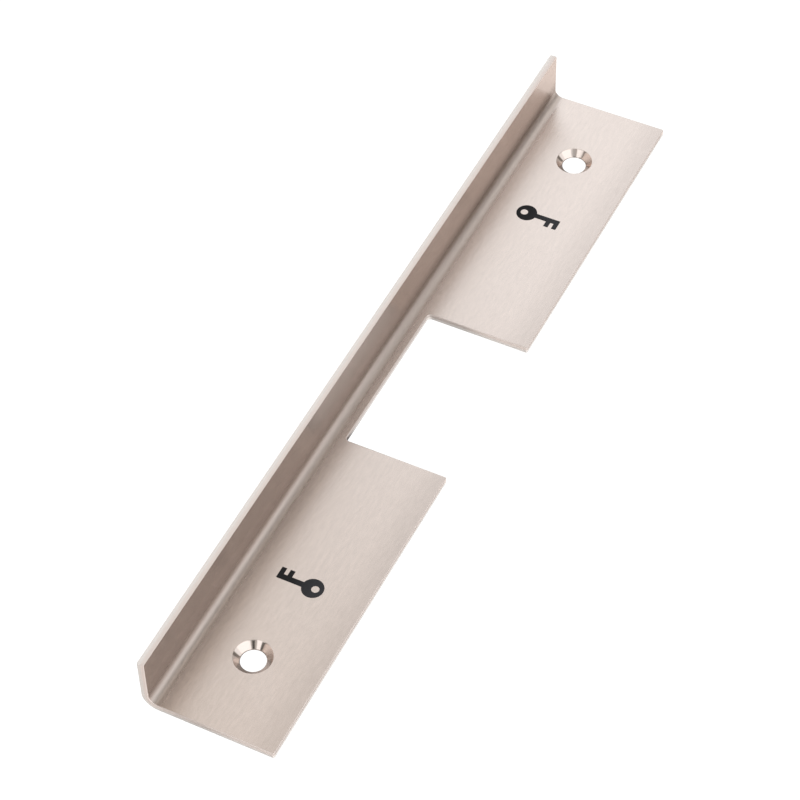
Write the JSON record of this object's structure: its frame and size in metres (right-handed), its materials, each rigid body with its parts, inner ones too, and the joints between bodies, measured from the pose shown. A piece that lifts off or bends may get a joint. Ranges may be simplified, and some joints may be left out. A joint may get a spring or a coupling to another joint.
{
  "type": "electric strike faceplate",
  "caption": "Angled stainless faceplate for an electric door strike, with an open latch notch, a rebate lip and countersunk screw holes.",
  "frame": {"origin": "middle of the plate's length and of its width, on the back of the flange, which is the lowest plane", "axes": "+X along the plate, +Y across it towards the upstand, +Z out of the flange's front face, the way the upstand stands"},
  "size_m": [0.25, 0.038, 0.018],
  "materials": {
    "stainless": "fine satin-brushed stainless, with bright turned countersinks",
    "ink": "matte black pad-printing ink"
  },
  "bodies": {
    "root": {"faceplate": "stainless", "printed_mark_left": "ink", "printed_mark_right": "ink"}
  },
  "joints": []
}
